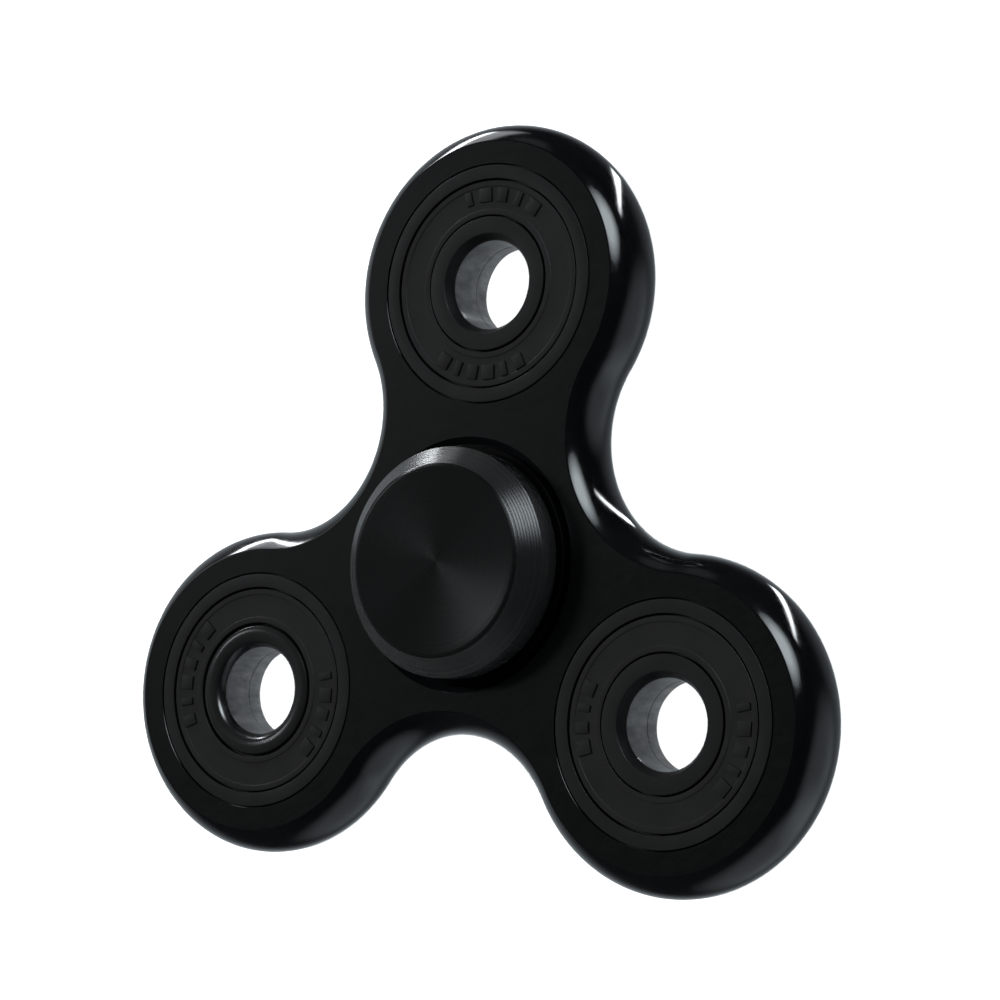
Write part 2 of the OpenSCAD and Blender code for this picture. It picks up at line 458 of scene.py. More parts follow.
@dataclass(frozen=True)
class TurnedBlack:
    """Black anodised aluminium with lathe rings about its own axis."""

    turning: Turning
    roughness: Point = (0.22, 0.29)
    anisotropy: float = 0.75

    def make(self) -> bpy.types.Material:
        """Builds the material."""
        pitch, height, shade = self.turning.value
        s = Shader(f"turned_black_{self.turning.name.lower()}")
        s.set(Metallic=0.0, IOR=1.5, Specular_IOR_Level=0.5)
        s.set(Anisotropic=self.anisotropy, Anisotropic_Rotation=0.25)
        rings = s.rings((0.0, 0.0), pitch)
        low, high = shade * 0.9, shade * 1.15
        s.colours(rings, (low, low * 1.05, low * 1.06, 1), (high, high * 1.05, high * 1.06, 1))
        s.join(s.spread(rings, *self.roughness), s.surface.inputs["Roughness"])
        tangent = s.node("ShaderNodeTangent", direction_type="RADIAL", axis="Z")
        s.join(tangent.outputs["Tangent"], s.surface.inputs["Tangent"])
        s.bump((rings, height), (s.noise(s.coords, 2600, 2), 2e-7))
        return s.material


@dataclass(frozen=True)
class GroundSteel:
    """Blackened bearing steel with grinding rings about one bearing's axis."""

    name: str
    centre: Tuple[float, float]
    base: Colour = (0.0122, 0.0124, 0.0126, 1)
    light: Colour = (0.015, 0.0152, 0.0155, 1)
    roughness: Point = (0.32, 0.46)
    gloss: float = 0.28

    def make(self) -> bpy.types.Material:
        """Builds the material."""
        s = Shader(f"ground_steel_{self.name}")
        s.set(Metallic=0.0, IOR=1.5, Specular_IOR_Level=self.gloss)
        rings = s.rings(self.centre, 1.4e-4)
        s.colours(s.noise(s.coords, 260, 4), self.base, self.light)
        s.join(s.spread(rings, *self.roughness), s.surface.inputs["Roughness"])
        s.bump((rings, 6e-7), (s.noise(s.coords, 1500, 3), 5e-7))
        return s.material


@dataclass(frozen=True)
class WornBore:
    """Bare grey steel of a bore, mottled and lightly scored round its axis."""

    base: Colour = (0.12, 0.126, 0.132, 1)
    light: Colour = (0.26, 0.275, 0.29, 1)
    roughness: Point = (0.3, 0.5)

    def make(self) -> bpy.types.Material:
        """Builds the material."""
        s = Shader("worn_bore")
        s.set(Metallic=0.0, IOR=1.5, Specular_IOR_Level=0.45)
        mottle = s.noise(s.placed((900, 900, 420)), 1.0, 5, 0.65)
        s.colours(mottle, self.base, self.light)
        scores = s.noise(s.placed((160, 160, 9000)), 1.0, 2)
        s.join(s.spread(mottle, *self.roughness), s.surface.inputs["Roughness"])
        s.bump((scores, 1.2e-6), (mottle, 2e-6))
        return s.material


@dataclass(frozen=True)
class MouldedRubber:
    """Matt black seal rubber with the fine grain of its mould."""

    base: Colour = (0.0128, 0.0128, 0.013, 1)
    bloom: Colour = (0.0152, 0.0152, 0.0154, 1)
    roughness: Point = (0.46, 0.62)

    def make(self) -> bpy.types.Material:
        """Builds the material."""
        s = Shader("moulded_rubber")
        s.set(Metallic=0.0, IOR=1.5, Specular_IOR_Level=0.3)
        s.colours(s.noise(s.coords, 300, 4), self.base, self.bloom)
        grain = s.noise(s.coords, 5200, 2)
        s.join(s.spread(grain, *self.roughness), s.surface.inputs["Roughness"])
        s.bump((grain, 2.5e-6), (s.noise(s.coords, 900, 2), 1.5e-6))
        return s.material


@dataclass(frozen=True)
class CageNylon:
    """Ivory moulded nylon of the ball cages."""

    base: Colour = (0.6, 0.55, 0.42, 1)
    light: Colour = (0.72, 0.68, 0.55, 1)

    def make(self) -> bpy.types.Material:
        """Builds the material."""
        s = Shader("cage_nylon")
        s.set(Roughness=0.42, Subsurface_Weight=0.15, IOR=1.53)
        s.colours(s.noise(s.coords, 500, 3), self.base, self.light)
        s.bump((s.noise(s.coords, 2400, 3), 3e-6))
        return s.material


@dataclass(frozen=True)
class PolishedSteel:
    """Mirror-bright steel of the balls, with a trace of grease."""

    base: Colour = (0.62, 0.62, 0.64, 1)
    light: Colour = (0.72, 0.72, 0.74, 1)

    def make(self) -> bpy.types.Material:
        """Builds the material."""
        s = Shader("ball_steel")
        s.set(Metallic=1.0)
        smear = s.noise(s.coords, 900, 3)
        s.colours(smear, self.base, self.light)
        s.join(s.spread(smear, 0.06, 0.16), s.surface.inputs["Roughness"])
        s.bump((smear, 4e-7))
        return s.material


@dataclass(frozen=True)
class PaleFloor:
    """Plain white sweep with a barely visible paper grain."""

    shade: Colour = (0.86, 0.865, 0.87, 1)

    def make(self) -> bpy.types.Material:
        """Builds the material."""
        s = Shader("pale_floor")
        s.set(Roughness=0.9, Specular_IOR_Level=0.1)
        s.colours(s.noise(s.coords, 400, 3), self.shade, (0.88, 0.885, 0.89, 1))
        return s.material


# ----------------------------------------------------------------------
# Pieces


@dataclass
class LobedBody:
    """The cast body: three lobes, three hollow waists, a rounded rim and four bores."""

    rim: bpy.types.Material
    face: bpy.types.Material
    bearing_radius: float
    lobe_places: List[Vector]
    waist_radius: float = 10.7 * MM
    rim_inset: float = 1.96 * MM
    edge_break: float = 0.14 * MM
    centre_chamfer: float = 0.6 * MM
    lobe_chamfer: float = 0.02 * MM
    lobe_steps: int = 132
    waist_steps: int = 66
    bore_steps: int = 144
    rim_steps: int = 40
    smooth_deg: float = 24
    half_width: float = field(init=False)
    pitch: float = field(init=False)
    lobe_radius: float = field(init=False)

    def __post_init__(self) -> None:
        """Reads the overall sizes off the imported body."""
        low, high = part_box("spinner_body")
        self.half_width = high.z
        self.pitch = self.lobe_places[0].length
        self.lobe_radius = high.y - self.pitch

    @property
    def rim_radius(self) -> float:
        """Radius of the rim's arc, through both face edges and the widest point."""
        return (self.half_width**2 + self.rim_inset**2) / (2 * self.rim_inset)

    @property
    def waist_distance(self) -> float:
        """Distance from the spin axis to the axis of a hollow curve."""
        reach = self.lobe_radius + self.waist_radius
        return self.pitch / 2 + math.sqrt(reach**2 - (self.pitch * math.cos(math.radians(30))) ** 2)

    @property
    def half_lobe_deg(self) -> float:
        """Half of the angle that a lobe's rim turns through before a waist takes over."""
        side = self.waist_distance * math.sin(math.radians(60))
        ahead = self.waist_distance * math.cos(math.radians(60)) - self.pitch
        return math.degrees(math.atan2(side, ahead))

    def rim_section(self) -> List[Point]:
        """Gives the rim's section as outward reach from a lobe's axis and height."""
        flat = self.lobe_radius - self.rim_inset
        top_deg = math.degrees(math.asin(self.half_width / self.rim_radius))
        cut_deg = math.degrees(self.edge_break / self.rim_radius)
        centre = (self.lobe_radius - self.rim_radius, 0.0)
        round_part = arc(centre, self.rim_radius, top_deg - cut_deg, cut_deg - top_deg, self.rim_steps)
        corner = [
            (flat - self.edge_break, self.half_width, 0),
            (flat, self.half_width, 1),
            (*round_part[0], 0),
        ]
        edge = soften([(r, z, c and self.edge_break) for r, z, c in corner])[1:-1]
        ends = [corner[0][:2], *edge, *round_part]
        back = [(r, -z) for r, z in reversed([corner[0][:2], *edge])]
        return without_repeats([*ends, *back])

    def sweep_rim(self) -> bpy.types.Object:
        """Sweeps the rim's section round lobes and waists in turn.

        Returns:
            The body's object in edit mode, open at both faces.
        """
        first_deg = 90 - self.half_lobe_deg
        outward = Vector((math.cos(math.radians(first_deg)), math.sin(math.radians(first_deg)), 0))
        top = Vector((0, self.pitch, 0))
        path = [top + outward * r + Vector((0, 0, z)) for r, z in self.rim_section()]
        piece = start_point("cast_body", path[0])
        draw_profile(path)
        bpy.ops.mesh.select_all(action="SELECT")
        waist_turn = 2 * self.half_lobe_deg - 120
        for k in range(3):
            lobe = math.radians(90 + 120 * k)
            waist = lobe + math.radians(60)
            self.swing(self.pitch, lobe, 2 * self.half_lobe_deg, self.lobe_steps)
            self.swing(self.waist_distance, waist, -waist_turn, self.waist_steps)
        bpy.ops.mesh.select_all(action="SELECT")
        bpy.ops.mesh.remove_doubles(threshold=WELD)
        return piece

    @staticmethod
    def swing(distance: float, direction: float, turn_deg: float, steps: int) -> None:
        """Sweeps the selected section about a vertical axis.

        Args:
            distance: How far the axis is from the spin axis.
            direction: Direction of the axis in radians.
            turn_deg: Angle of the sweep, anticlockwise from the front.
            steps: Number of steps.
        """
        bpy.ops.mesh.spin(
            steps=steps,
            angle=-math.radians(turn_deg),
            center=(distance * math.cos(direction), distance * math.sin(direction), 0),
            axis=(0, 0, 1),
        )

    def cut_bore(self, centre: Vector, chamfer: float) -> None:
        """Draws one bore from the front face to the back face, chamfers included.

        Args:
            centre: The bore's axis.
            chamfer: Size of the chamfer at both mouths.
        """
        bpy.ops.mesh.select_all(action="DESELECT")
        mouth = self.bearing_radius + chamfer
        bpy.ops.mesh.primitive_circle_add(
            vertices=self.bore_steps, radius=mouth, location=(centre.x, centre.y, self.half_width)
        )
        walls = [
            (self.bearing_radius, -chamfer),
            (self.bearing_radius, 2 * chamfer - 2 * self.half_width),
            (mouth, -chamfer),
        ]
        radius = mouth
        for target, drop in walls:
            bpy.ops.mesh.extrude_edges_move(TRANSFORM_OT_translate={"value": (0, 0, drop)})
            if target != radius:
                factor = target / radius
                height = Vector((centre.x, centre.y, 0))
                bpy.ops.transform.resize(value=(factor, factor, 1), center_override=height)
                radius = target

    @staticmethod
    def fill_face(piece: bpy.types.Object, height: float) -> None:
        """Fills one flat face between the rim and the bores, in edit mode.

        Args:
            piece: The body.
            height: Height of the face.
        """
        bpy.ops.mesh.select_mode(type="EDGE")
        bpy.ops.mesh.select_all(action="DESELECT")
        bpy.ops.object.mode_set(mode="OBJECT")
        mesh = piece.data
        used = Counter(key for polygon in mesh.polygons for key in polygon.edge_keys)
        for edge in mesh.edges:
            level = all(abs(mesh.vertices[i].co.z - height) < WELD for i in edge.vertices)
            edge.select = level and used[edge.key] == 1
        bpy.ops.object.mode_set(mode="EDIT")
        bpy.ops.mesh.fill(use_beauty=True)

    def build(self) -> bpy.types.Object:
        """Builds, dresses and rides the body.

        Returns:
            The finished piece.
        """
        piece = self.sweep_rim()
        self.cut_bore(Vector((0, 0, 0)), self.centre_chamfer)
        for place in self.lobe_places:
            self.cut_bore(place, self.lobe_chamfer)
        for side in Side:
            self.fill_face(piece, side.value * self.half_width)
        bpy.ops.mesh.select_mode(type="VERT")
        finish_mesh(piece, self.smooth_deg)
        put_on(piece, "body_finish", self.rim, self.face)
        for polygon in piece.data.polygons:
            level = abs(abs(polygon.center.z) - self.half_width) < WELD
            if level and abs(polygon.normal.z) > LEVEL:
                polygon.material_index = 1
                polygon.use_smooth = False
        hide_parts("spinner_body")
        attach(piece, "spinner")
        return piece


@dataclass
class FingerCap:
    """One screwed finger cap, turned with real grooves on its chamfer."""

    side: Side
    face_finish: bpy.types.Material
    groove_finish: bpy.types.Material
    chamfer: float = 1.8 * MM
    band: float = 0.3 * MM
    gap: float = 0.45 * MM
    boss_radius: float = 5.3 * MM
    stem_radius: float = 3.98 * MM
    groove_pitch: float = 0.25 * MM
    groove_depth: float = 0.016 * MM
    dish: float = 0.38 * MM
    dish_steps: int = 14
    edge_break: float = 0.12 * MM
    rounding: float = 0.05 * MM
    stem_end: float = 0.62  # where the stem stops, as a part of the body's half width
    steps: int = 240
    smooth_deg: float = 32
    radius: float = field(init=False)
    top: float = field(init=False)

    def __post_init__(self) -> None:
        """Reads the cap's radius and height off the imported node."""
        low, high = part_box(self.node)
        self.radius = high.x
        self.top = max(abs(low.z), abs(high.z))

    @property
    def node(self) -> str:
        """Name of the cap's node."""
        return f"{self.side.name.lower()}_cap"

    def grooved(self, start: Point, end: Point) -> List[Point]:
        """Draws a straight flank with shallow turned grooves.

        Args:
            start: First end of the flank.
            end: Last end of the flank.

        Returns:
            The flank's points, both ends included.
        """
        a, b = Vector(start), Vector(end)
        along = (b - a).normalized()
        inward = Vector((along.y, -along.x))
        if inward.x > 0:
            inward = -inward
        shape = (0, 0.75, 1, 0.6)
        steps = len(shape) * max(2, round((b - a).length / self.groove_pitch))
        points = []
        for k in range(steps + 1):
            t = k / steps
            depth = self.groove_depth * shape[k % len(shape)] if 0 < t < 1 else 0
            p = a.lerp(b, t) + inward * depth
            points.append((p.x, p.y))
        return points

    def section(self, half_width: float) -> List[Point]:
        """Gives the section of the front cap from its top to the end of its stem."""
        flat, small = self.radius - self.chamfer, self.rounding
        under = half_width + self.gap
        low_edge = (self.radius, self.top - self.chamfer)
        high_edge = (flat + self.band / 2, self.top - self.band / 2)
        brim = flat - self.band / 2
        spots = [k / self.dish_steps for k in range(self.dish_steps)]
        face = [(brim * t, self.top - self.dish * (1 - t**2)) for t in spots]
        rounded = soften(
            [
                (*face[-1], 0),
                (brim, self.top, self.edge_break),
                (*high_edge, 0.06 * MM),
                (flat + self.band, self.top - self.band, 0),
            ]
        )[1:]
        flank = self.grooved((flat + self.band, self.top - self.band), low_edge)
        lower = soften(
            [
                (self.radius - small, self.top - self.chamfer + small, 0),
                (*low_edge, small),
                (self.radius, under, self.edge_break),
                (self.boss_radius, under, small),
                (self.boss_radius, half_width, small),
                (self.stem_radius, half_width, 0),
                (self.stem_radius, self.stem_end * half_width, 0),
                (0.0, self.stem_end * half_width, 0),
            ]
        )[1:]
        return without_repeats([*face, *rounded, *flank[1:-1], *lower])

    def build(self, half_width: float) -> bpy.types.Object:
        """Builds, dresses and rides the cap.

        Args:
            half_width: Height of the body's face above its middle.

        Returns:
            The finished piece.
        """
        profile = flip_to(self.side, self.section(half_width))
        piece = turn(f"turned_{self.node}", profile, steps=self.steps, smooth_deg=self.smooth_deg)
        put_on(piece, "cap_finish", self.face_finish, self.groove_finish)
        rim = self.radius - self.chamfer + self.band / 2
        for polygon in piece.data.polygons:
            beyond = math.hypot(polygon.center.x, polygon.center.y) > rim
            polygon.material_index = int(beyond)
        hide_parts(self.node)
        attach(piece, "hub")
        return piece


class InnerEdge(Enum):
    """How an inner ring's face is edged: rounding at its rim and at its bore mouth."""

    FLAT = (0.07 * MM, 0.06 * MM)
    BEADED = (0.62 * MM, 0.66 * MM)


@dataclass
class SealedBearing:
    """The rings and seals of one bearing; its balls and cage stay as the frame has them."""

    place: Place
    centre: Tuple[float, float]
    steel: bpy.types.Material
    inner_steel: bpy.types.Material
    bore: bpy.types.Material
    rubber: bpy.types.Material
    edge: InnerEdge
    mark_arcs: Tuple[Tuple[float, float, int], ...]
    nominal_bore: float = 4.0 * MM
    bore_radius: float = 4.05 * MM
    bore_mouth: float = 4.6 * MM
    lead_in: float = 0.95 * MM
    score_height: float = -0.9 * MM
    score_width: float = 0.09 * MM
    seal_gap: float = 0.17 * MM
    gap_depth: float = 0.5 * MM
    fit_gap: float = 0.12 * MM
    lip_clearance: float = 0.04 * MM
    ring_rounding: float = 0.12 * MM
    face_width: float = 1.38 * MM
    seal_thick: float = 0.75 * MM
    seal_recess: float = 0.1 * MM
    seal_dish: float = 0.06 * MM
    seal_rim: float = 0.5 * MM
    race_radius: float = 2.0345 * MM
    mark_radius: float = 8.15 * MM
    mark_height: float = 1.3 * MM
    mark_width: float = 1.3 * MM
    mark_relief: float = 0.14 * MM
    mark_rounding: float = 0.035 * MM
    race_steps: int = 12
    seal_smooth_deg: float = 40
    steps: int = 192
    half_width: float = field(init=False)
    outer: float = field(init=False)
    land: float = field(init=False)

    def __post_init__(self) -> None:
        """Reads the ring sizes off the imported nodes."""
        low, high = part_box(self.node("outer_ring"))
        self.half_width = high.z
        self.outer = (high.x - low.x) / 2
        low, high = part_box(self.node("inner_ring"))
        self.land = (high.x - low.x) / 2

    def node(self, part: str) -> str:
        """Name of one of the bearing's nodes."""
        return f"{self.place.value}_{part}"

    @property
    def seat(self) -> float:
        """Radius of the edge where the seal meets the outer ring."""
        return self.outer - self.face_width

    @property
    def ball_circle(self) -> float:
        """Radius of the circle of ball centres."""
        return (self.outer + self.nominal_bore) / 2

    def outer_ring(self) -> bpy.types.Object:
        """Turns the outer ring, with its race and seal seats."""
        h, top = self.half_width, self.half_width - self.seal_recess
        floor = top - self.seal_thick
        land = 2 * self.ball_circle - self.land
        gap_deg = math.degrees(math.acos((land - self.ball_circle) / self.race_radius))
        race = arc((self.ball_circle, 0), self.race_radius, gap_deg, -gap_deg, self.race_steps)
        small = 0.06 * MM
        corners = [
            (self.seat, floor, 0),
            (self.seat, h, small),
            (self.outer - self.fit_gap, h, self.ring_rounding),
            (self.outer - self.fit_gap, h - self.gap_depth, 0),
            (self.outer, h - self.gap_depth, 0),
            (self.outer, self.gap_depth - h, 0),
            (self.outer - self.fit_gap, self.gap_depth - h, 0),
            (self.outer - self.fit_gap, -h, self.ring_rounding),
            (self.seat, -h, small),
            (self.seat, -floor, 0),
            (land, -floor, 0),
            *[(r, z, 0) for r, z in reversed(race)],
            (land, floor, 0),
        ]
        return turn(f"{self.node('outer_ring')}_ground", soften(corners, True), self.centre, self.steps)

    def inner_ring(self) -> bpy.types.Object:
        """Turns the inner ring, with its race, its lead-in and one scored line in its bore."""
        h, bore = self.half_width, self.bore_radius
        gap_deg = math.degrees(math.acos((self.land - self.ball_circle) / self.race_radius))
        race = arc((self.ball_circle, 0), self.race_radius, 360 - gap_deg, gap_deg, self.race_steps)
        rim_round, mouth_round = self.edge.value
        low, wide = self.score_height, self.score_width
        corners = [
            (self.land, h, rim_round),
            *[(r, z, 0) for r, z in reversed(race)],
            (self.land, -h, rim_round),
            (self.bore_mouth, -h, mouth_round),
            (bore, self.lead_in - h, 0.2 * MM),
            (bore, low - wide, 0.01 * MM),
            (bore + wide / 2, low, 0),
            (bore, low + wide, 0.01 * MM),
            (bore, h - self.lead_in, 0.2 * MM),
            (self.bore_mouth, h, mouth_round),
        ]
        piece = turn(f"{self.node('inner_ring')}_ground", soften(corners, True), self.centre, self.steps)
        put_on(piece, "ring_steel", self.inner_steel, self.bore)
        inside = bore + 0.03 * MM
        for polygon in piece.data.polygons:
            reach = math.dist(polygon.center.to_2d(), self.centre)
            polygon.material_index = int(reach < inside)
        return piece

    def seal_section(self) -> List[Point]:
        """Gives the front seal's section, dished between its rim and its lip."""
        top = self.half_width - self.seal_recess
        floor, low = top - self.seal_thick, top - self.seal_dish
        lip, seat = self.land + self.seal_gap, self.seat - self.seal_gap
        small, soft = 0.05 * MM, 0.09 * MM
        corners = [
            (self.land + self.lip_clearance, floor, 0),
            (self.land + self.lip_clearance, top - self.gap_depth, 0),
            (lip, top - self.gap_depth, 0),
            (lip, top, soft),
            (lip + self.seal_rim, top, small),
            (lip + self.seal_rim + self.seal_dish, low, small),
            (seat - self.seal_rim - self.seal_dish, low, small),
            (seat - self.seal_rim, top, small),
            (seat, top, soft),
            (seat, top - self.gap_depth, 0),
            (self.seat - 0.01 * MM, top - self.gap_depth, 0),
            (self.seat - 0.01 * MM, floor, 0),
        ]
        return soften(corners, True)

    def add_mark(self, angle_deg: float, width: float, base: float, side: Side) -> None:
        """Raises one plain moulded bar on the seal that is in edit mode.

        Args:
            angle_deg: Where the bar stands round the seal.
            width: The bar's size round the seal.
            base: Height of the seal's dished face.
            side: Which face the seal is on.
        """
        bpy.ops.mesh.select_all(action="DESELECT")
        bpy.ops.mesh.primitive_cube_add(size=1, location=(0, 0, 0))
        sunk = 0.1 * MM
        bpy.ops.transform.resize(value=(self.mark_height, width, self.mark_relief + sunk))
        bpy.ops.mesh.bevel(offset=self.mark_rounding, segments=2, affect="EDGES")
        shift = Vector((self.mark_radius, 0, base + (self.mark_relief - sunk) / 2))
        shift.z *= side.value
        bpy.ops.transform.translate(value=shift)
        bpy.ops.transform.rotate(
            value=-math.radians(angle_deg), orient_axis="Z", center_override=(0, 0, 0)
        )
        bpy.ops.transform.translate(value=(*self.centre, 0))

    def seal(self, side: Side) -> bpy.types.Object:
        """Moulds one seal with its two arcs of plain raised bars.

        Args:
            side: Which face the seal is on.

        Returns:
            The finished mesh.
        """
        name = f"{self.node(side.name.lower() + '_seal')}_moulded"
        profile = flip_to(side, self.seal_section())
        piece = turn(name, profile, self.centre, self.steps, self.seal_smooth_deg)
        base = self.half_width - self.seal_recess - self.seal_dish
        bpy.ops.object.mode_set(mode="EDIT")
        for start, end, count in self.mark_arcs:
            for k in range(count):
                angle = start + (end - start) * (k + 0.5) / count
                width = self.mark_width * (1.0, 0.5, 0.8)[k % 3]
                self.add_mark(angle, width, base, side)
        bpy.ops.object.mode_set(mode="OBJECT")
        piece.select_set(True)
        bpy.ops.object.shade_smooth_by_angle(angle=math.radians(self.seal_smooth_deg))
        return piece

    def build(self) -> List[bpy.types.Object]:
        """Builds, dresses and rides the bearing's visible pieces.

        Returns:
            The pieces, rings first.
        """
        inner_body = "hub" if self.place is Place.CENTRE else f"{self.place.value}_ring"
        made = [
            (self.outer_ring(), "outer_ring", "spinner"),
            (self.inner_ring(), "inner_ring", inner_body),
        ]
        put_on(made[0][0], "ring_steel", self.steel)
        for side in Side:
            made.append((self.seal(side), f"{side.name.lower()}_seal", "spinner"))
            put_on(made[-1][0], "seal_rubber", self.rubber)
        for piece, part, body in made:
            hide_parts(self.node(part))
            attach(piece, body)
        return [row[0] for row in made]


# ----------------------------------------------------------------------
# Studio


@dataclass(frozen=True)
class Lamp:
    """One soft panel that faces the spinner and is seen in its gloss alone."""

    name: str
    azimuth_deg: float
    elevation_deg: float
    size: Tuple[float, float]
    radiance: float
    colour: Tuple[float, float, float] = (0.93, 0.97, 1.0)
    distance: float = 0.6
    twist_deg: float = 0.0
    oval: bool = False
    panels: int = 1
    softness: float = 0.45


LAMPS: Tuple[Lamp, ...] = (
    Lamp("soft_box", 51, 37, (0.42, 0.38), 9.0, (0.86, 0.95, 1), oval=True, panels=4, softness=0.7),
    Lamp("right_strip", 66, -24, (0.05, 0.75), 26.0, twist_deg=33, panels=2),
    Lamp("left_strip", 137, -2, (0.055, 0.4), 27.0, twist_deg=-30, panels=3),
    Lamp("left_haze", 127, 0, (0.16, 0.36), 2.5, twist_deg=-30, panels=3),
    Lamp("rear_glow", 109, 15, (0.2, 0.26), 0.2, oval=True, panels=3, softness=0.6),
    Lamp("cap_glow", 166, 39, (0.16, 0.16), 3.0, oval=True, panels=3, softness=0.6),
)


@dataclass(frozen=True)
class RoomGlow:
    """A pale patch of the room, strongest along one direction."""

    azimuth_deg: float
    elevation_deg: float
    reach_deg: Point
    level: Point

    def add_to(self, tree: bpy.types.NodeTree, view: bpy.types.NodeSocket) -> bpy.types.NodeSocket:
        """Adds the patch to the room's node tree.

        Args:
            tree: The room's node tree.
            view: The direction that is being lit.

        Returns:
            The patch's brightness.
        """
        dot = tree.nodes.new("ShaderNodeVectorMath")
        dot.operation = "DOT_PRODUCT"
        tree.links.new(view, dot.inputs[0])
        dot.inputs[1].default_value = direction(self.azimuth_deg, self.elevation_deg)
        fall = tree.nodes.new("ShaderNodeMapRange")
        fall.interpolation_type = "SMOOTHSTEP"
        tree.links.new(dot.outputs["Value"], fall.inputs["Value"])
        span = [math.cos(math.radians(angle)) for angle in self.reach_deg]
        for key, number in zip(("From Min", "From Max", "To Min", "To Max"), (*span, *self.level)):
            fall.inputs[key].default_value = number
        return fall.outputs["Result"]


ROOM_GLOWS: Tuple[RoomGlow, ...] = (
    RoomGlow(0, -90, (68, 20), (0.03, 0.3)),
    RoomGlow(-18, -22, (44, 18), (0.0, 0.6)),
    RoomGlow(-64, -16, (44, 18), (0.0, 0.6)),
    RoomGlow(178, -36, (55, 15), (0.0, 0.45)),
)


@dataclass
class Studio:
    """Floor, lights and camera."""

    floor_height: float
    floor_size: float = 6.0
    camera_place: Vector = Vector((0.17388, -0.01294, 0.25848))
    camera_target: Vector = Vector((0.00117, 0.00623, 0.0))
    camera_roll_deg: float = 4.89
    camera_lens: float = 123.37
    key_place: Point = (164, 44)
    key_energy: float = 3.5
    key_spread_deg: float = 11.0
    floor_energy: float = 3.6
    floor_only: bpy.types.Collection = field(init=False)

    def __post_init__(self) -> None:
        """Makes the group that the floor's own light falls on."""
        self.floor_only = bpy.data.collections.new("floor_only")

    def camera(self) -> None:
        """Adds the camera, turned about its own axis by the roll."""
        clear_bench()
        bpy.ops.object.camera_add(location=self.camera_place)
        camera = bpy.context.object
        camera.name = "studio_camera"
        back = (self.camera_place - self.camera_target).normalized()
        right = Vector((0, 1, 0)).cross(back).normalized()
        frame_axes = Matrix((right, back.cross(right), back)).transposed()
        roll = Matrix.Rotation(math.radians(self.camera_roll_deg), 3, "Z")
        camera.rotation_euler = (frame_axes @ roll).to_euler()
        camera.data.lens = self.camera_lens
        camera.data.sensor_width = 36
        camera.data.clip_start, camera.data.clip_end = 0.01, 20
        camera.data.dof.use_dof = False
        bpy.context.scene.camera = camera

    def floor(self, finish: bpy.types.Material) -> None:
        """Lays the pale floor under the back cap.

        Args:
            finish: The floor's material.
        """
        clear_bench()
        bpy.ops.mesh.primitive_plane_add(size=self.floor_size, location=(0, 0, 0))
        floor = bpy.context.object
        floor.name = "floor"
        bpy.ops.object.mode_set(mode="EDIT")
        bpy.ops.transform.translate(value=(0, 0, self.floor_height))
        bpy.ops.object.mode_set(mode="OBJECT")
        floor.data.materials.append(finish)
        floor.visible_glossy = False
        self.floor_only.objects.link(floor)

    @staticmethod
    def sky_light(name: str, azimuth_deg: float, elevation_deg: float, energy: float) -> bpy.types.Object:
        """Adds an even light from one side of the room, which isn't seen in gloss.

        Args:
            name: Name of the light.
            azimuth_deg: Where it comes from, from +X towards +Y.
            elevation_deg: Height of that direction above the floor.
            energy: Its strength.

        Returns:
            The light.
        """
        clear_bench()
        out = direction(azimuth_deg, elevation_deg)
        bpy.ops.object.light_add(type="SUN", location=out)
        light = bpy.context.object
        light.name = light.data.name = name
        light.rotation_euler = out.to_track_quat("Z", "Y").to_euler()
        light.data.energy = energy
        light.visible_glossy = False
        return light

    def even_light(self) -> None:
        """Adds the soft key from the left and the floor's own light, which casts no shadow."""
        key = self.sky_light("key_light", *self.key_place, self.key_energy)
        key.data.angle = math.radians(self.key_spread_deg)
        floor_light = self.sky_light("floor_light", 0, 90, self.floor_energy)
        floor_light.data.use_shadow = False
        floor_light.light_linking.receiver_collection = self.floor_only

    def hang(self, lamp: Lamp) -> None:
        """Hangs one lamp, as nested panels that give it a soft edge.

        Args:
            lamp: The lamp's place, size and light.
        """
        out = direction(lamp.azimuth_deg, lamp.elevation_deg)
        turn_round = Matrix.Rotation(math.radians(lamp.twist_deg), 3, "Z")
        facing = (out.to_track_quat("Z", "Y").to_matrix() @ turn_round).to_euler()
        for k in range(lamp.panels):
            scale = 1 - lamp.softness * k / lamp.panels
            width, height = lamp.size[0] * scale, lamp.size[1] * scale
            clear_bench()
            bpy.ops.object.light_add(type="AREA", location=out * (lamp.distance + 0.002 * k))
            made = bpy.context.object
            made.name = made.data.name = f"{lamp.name}_{k + 1}"
            made.data.shape = "ELLIPSE" if lamp.oval else "RECTANGLE"
            made.data.size, made.data.size_y = width, height
            area = width * height * (math.pi / 4 if lamp.oval else 1)
            made.data.energy = lamp.radiance / lamp.panels * area * math.pi
            made.data.color = lamp.colour
            made.rotation_euler = facing
            made.visible_camera = made.visible_diffuse = False

    def surroundings(self) -> None:
        """Sets the dim light of the room, with its paler patches."""
        world = bpy.data.worlds.new("studio_room")
        bpy.context.scene.world = world
        world.use_nodes = True
        nodes, links = world.node_tree.nodes, world.node_tree.links
        back = next(n for n in nodes if n.type == "BACKGROUND")
        back.inputs["Color"].default_value = (0.85, 0.94, 1.0, 1)
        view = nodes.new("ShaderNodeTexCoord").outputs["Generated"]
        total = None
        for glow in ROOM_GLOWS:
            level = glow.add_to(world.node_tree, view)
            if total is not None:
                both = nodes.new("ShaderNodeMath")
                both.operation = "ADD"
                links.new(total, both.inputs[0])
                links.new(level, both.inputs[1])
                level = both.outputs[0]
            total = level
        links.new(total, back.inputs["Strength"])
        bpy.context.scene.view_settings.view_transform = "Standard"


# ----------------------------------------------------------------------
# Putting it together


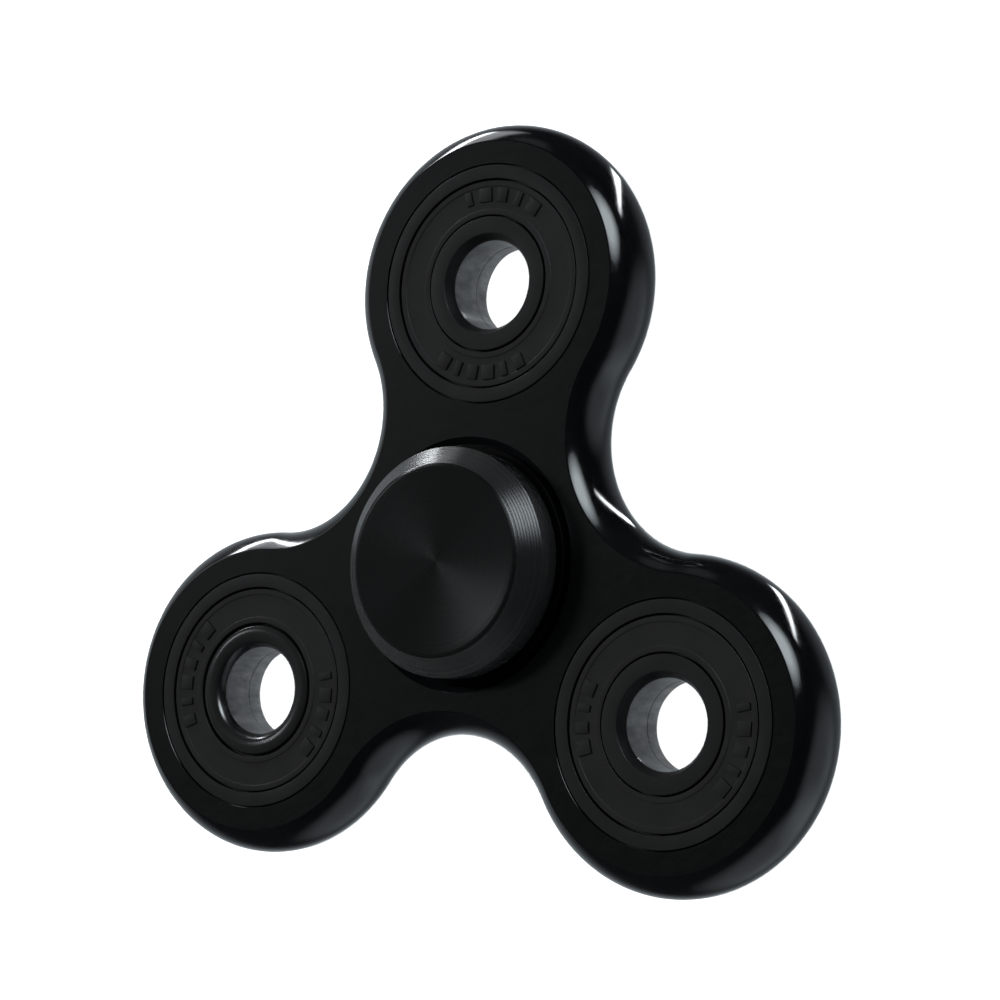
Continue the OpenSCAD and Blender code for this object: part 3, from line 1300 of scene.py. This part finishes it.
def bearing_centre(place: Place) -> Tuple[float, float]:
    """Reads a bearing's axis off its outer ring."""
    low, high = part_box(f"{place.value}_outer_ring")
    middle = (low + high) / 2
    return (middle.x, middle.y)


# Near black for the centre bearing's outer ring: painted shade that stands in for the cap's shadow over
# that ring
PAINTED_CAP_SHADOW: Colour = (0.0012, 0.0012, 0.0014, 1)

# Each arc of bars on a front seal: where it starts and ends in degrees, and its number of bars
MARK_ARCS: Dict[Place, Tuple[Tuple[float, float, int], ...]] = {
    Place.CENTRE: ((60, 120, 5), (240, 300, 5)),
    Place.TOP: ((52, 116, 5), (235, 306, 6)),
    Place.LEFT: ((134, 211, 6), (-43, 19, 5)),
    Place.RIGHT: ((155, 205, 4), (-44, 21, 5)),
}


def dress_inner_pieces() -> None:
    """Gives the balls and cages, which stay as the frame has them, their finishes."""
    ball, cage = PolishedSteel().make(), CageNylon().make()
    for name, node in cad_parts.items():
        if "_ball_" in name:
            node.data.materials.clear()
            node.data.materials.append(cage if name.endswith("_cage") else ball)


def report(piece: bpy.types.Object) -> None:
    """Logs a piece's name and its size as triangles."""
    log.info("%s: %d triangles", piece.name, sum(len(p.vertices) - 2 for p in piece.data.polygons))


def main() -> None:
    """Builds every piece in order, then the studio."""
    logging.basicConfig(level=logging.INFO, format="%(name)s: %(message)s")
    centres = {place: bearing_centre(place) for place in Place}
    low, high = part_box("top_outer_ring")
    lobes = [Vector((*centres[p], 0)) for p in (Place.TOP, Place.LEFT, Place.RIGHT)]
    body = LobedBody(BlackEnamel().make(), BrushedEnamel().make(), (high.x - low.x) / 2, lobes)
    report(body.build())
    fine, coarse = TurnedBlack(Turning.FINE).make(), TurnedBlack(Turning.COARSE).make()
    for side in Side:
        report(FingerCap(side, fine, coarse).build(body.half_width))
    rubber, bore = MouldedRubber().make(), WornBore().make()
    polished = GroundSteel("polished", centres[Place.LEFT], roughness=(0.16, 0.26), gloss=0.9).make()
    # Near-black steel for the centre outer ring: painted shade for the shadow under the cap, not a finish
    # of its own
    painted_cap_shadow_steel = GroundSteel("painted_cap_shadow_steel", centres[Place.CENTRE], PAINTED_CAP_SHADOW, PAINTED_CAP_SHADOW, gloss=0.12).make()
    for place, centre in centres.items():
        steel = GroundSteel(place.value, centre).make()
        inner, edge = steel, InnerEdge.FLAT
        if place is Place.LEFT:
            inner, edge = polished, InnerEdge.BEADED
        # The centre bearing's outer ring takes the painted cap shadow
        if place is Place.CENTRE:
            steel = painted_cap_shadow_steel
        bearing = SealedBearing(place, centre, steel, inner, bore, rubber, edge, MARK_ARCS[place])
        for piece in bearing.build():
            report(piece)
    dress_inner_pieces()
    studio = Studio(floor_height=cad_low.z)
    studio.floor(PaleFloor().make())
    studio.even_light()
    for lamp in LAMPS:
        studio.hang(lamp)
    studio.surroundings()
    studio.camera()


if __name__ == "__main__":
    main()
